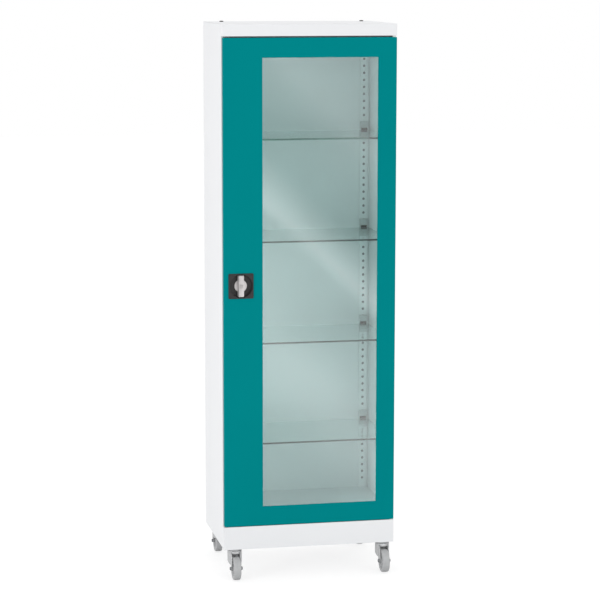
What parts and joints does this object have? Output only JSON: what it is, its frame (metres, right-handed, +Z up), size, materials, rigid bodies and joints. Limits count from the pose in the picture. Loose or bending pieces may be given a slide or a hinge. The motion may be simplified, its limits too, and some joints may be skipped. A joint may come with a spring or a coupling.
{
  "type": "glass door medical cabinet",
  "caption": "Tall free-standing steel medical cabinet on swivel casters, with a framed glass door, rod lock and adjustable glass shelves.",
  "frame": {"origin": "on the floor under the body's centre", "axes": "+Z up, +X to the right seen from the front, the door faces -Y"},
  "size_m": [0.6, 0.468, 1.9115],
  "materials": {
    "white_paint": "satin powder coat",
    "teal_paint": "satin powder coat",
    "shelf_glass": "clear float glass with greenish edges",
    "door_glass": "clear float glass",
    "zinc": "zinc plated",
    "pressed_steel": "bright zinc plated pressed steel",
    "dark_steel": "plain steel",
    "grey_tyre": "smooth non-marking rubber",
    "black_plastic": "fine moulded texture",
    "satin_metal": "satin die-cast",
    "white_nylon": "plain nylon"
  },
  "bodies": {
    "cabinet": {"left_side_panel": "white_paint", "right_side_panel": "white_paint", "back_panel": "white_paint", "top_panel": "white_paint", "floor_panel": "white_paint", "base_pan": "white_paint", "upright_front_left": "white_paint", "upright_front_right": "white_paint", "upright_rear_left": "white_paint", "upright_rear_right": "white_paint", "glass_shelf_1": "shelf_glass", "glass_shelf_2": "shelf_glass", "glass_shelf_3": "shelf_glass", "glass_shelf_4": "shelf_glass", "shelf_1_clip_front_left": "zinc", "shelf_1_clip_front_right": "zinc", "shelf_1_clip_rear_left": "zinc", "shelf_1_clip_rear_right": "zinc", "shelf_2_clip_front_left": "zinc", "shelf_2_clip_front_right": "zinc", "shelf_2_clip_rear_left": "zinc", "shelf_2_clip_rear_right": "zinc", "shelf_3_clip_front_left": "zinc", "shelf_3_clip_front_right": "zinc", "shelf_3_clip_rear_left": "zinc", "shelf_3_clip_rear_right": "zinc", "shelf_4_clip_front_left": "zinc", "shelf_4_clip_front_right": "zinc", "shelf_4_clip_rear_left": "zinc", "shelf_4_clip_rear_right": "zinc", "caster_head_front_left": "pressed_steel", "caster_head_front_right": "pressed_steel", "caster_head_rear_left": "pressed_steel", "caster_head_rear_right": "pressed_steel", "upper_hinge_pin": "dark_steel", "left_top_cap": "black_plastic", "right_top_cap": "black_plastic"},
    "door": {"door_leaf": "teal_paint", "glass_pane": "door_glass", "glazing_frame": "white_paint", "upper_hinge_bush": "white_nylon", "lower_hinge_bush": "white_nylon", "lock_cup": "black_plastic"},
    "handle": {"lock_handle": "satin_metal", "lock_cam": "zinc"},
    "key_plug": {"lock_plug": "dark_steel"},
    "upper_rod": {"upper_lock_rod": "zinc"},
    "lower_rod": {"lower_lock_rod": "zinc"},
    "fork_front_left": {"caster_fork_front_left": "pressed_steel", "caster_axle_front_left": "dark_steel"},
    "wheel_front_left": {"caster_wheel_front_left": "grey_tyre"},
    "fork_front_right": {"caster_fork_front_right": "pressed_steel", "caster_axle_front_right": "dark_steel"},
    "wheel_front_right": {"caster_wheel_front_right": "grey_tyre"},
    "fork_rear_left": {"caster_fork_rear_left": "pressed_steel", "caster_axle_rear_left": "dark_steel"},
    "wheel_rear_left": {"caster_wheel_rear_left": "grey_tyre"},
    "fork_rear_right": {"caster_fork_rear_right": "pressed_steel", "caster_axle_rear_right": "dark_steel"},
    "wheel_rear_right": {"caster_wheel_rear_right": "grey_tyre"}
  },
  "joints": [
    {"name": "door_swing", "type": "hinge", "parent": "cabinet", "child": "door", "pos_m": [0.292, -0.192, 0.19], "axis": [0, 0, 1], "range_deg": [0, 180]},
    {"name": "handle_turn", "type": "hinge", "parent": "door", "child": "handle", "pos_m": [-0.2388, -0.203, 1.0264], "axis": [0, 1, 0], "range_deg": [0, 90]},
    {"name": "key_turn", "type": "hinge", "parent": "handle", "child": "key_plug", "pos_m": [-0.2388, -0.203, 1.0264], "axis": [0, 1, 0], "range_deg": [0, 90]},
    {"name": "upper_rod_slide", "type": "slide", "parent": "door", "child": "upper_rod", "axis": [0, 0, 1], "range_m": [0, 0.016]},
    {"name": "lower_rod_slide", "type": "slide", "parent": "door", "child": "lower_rod", "axis": [0, 0, -1], "range_m": [0, 0.016]},
    {"name": "swivel_front_left", "type": "hinge", "parent": "cabinet", "child": "fork_front_left", "pos_m": [-0.2575, -0.162, 0.1], "axis": [0, 0, 1], "continuous": true},
    {"name": "roll_front_left", "type": "hinge", "parent": "fork_front_left", "child": "wheel_front_left", "pos_m": [-0.2575, -0.194, 0.04], "axis": [1, 0, 0], "continuous": true},
    {"name": "swivel_front_right", "type": "hinge", "parent": "cabinet", "child": "fork_front_right", "pos_m": [0.2685, -0.162, 0.1], "axis": [0, 0, 1], "continuous": true},
    {"name": "roll_front_right", "type": "hinge", "parent": "fork_front_right", "child": "wheel_front_right", "pos_m": [0.2685, -0.194, 0.04], "axis": [1, 0, 0], "continuous": true},
    {"name": "swivel_rear_left", "type": "hinge", "parent": "cabinet", "child": "fork_rear_left", "pos_m": [-0.2575, 0.162, 0.1], "axis": [0, 0, 1], "continuous": true},
    {"name": "roll_rear_left", "type": "hinge", "parent": "fork_rear_left", "child": "wheel_rear_left", "pos_m": [-0.2575, 0.194, 0.04], "axis": [1, 0, 0], "continuous": true},
    {"name": "swivel_rear_right", "type": "hinge", "parent": "cabinet", "child": "fork_rear_right", "pos_m": [0.2685, 0.162, 0.1], "axis": [0, 0, 1], "continuous": true},
    {"name": "roll_rear_right", "type": "hinge", "parent": "fork_rear_right", "child": "wheel_rear_right", "pos_m": [0.2685, 0.194, 0.04], "axis": [1, 0, 0], "continuous": true}
  ],
  "couplings": [
    {"joint": "upper_rod_slide", "follows": "handle_turn", "m_per_rad": 0.010185},
    {"joint": "lower_rod_slide", "follows": "handle_turn", "m_per_rad": 0.010185}
  ]
}
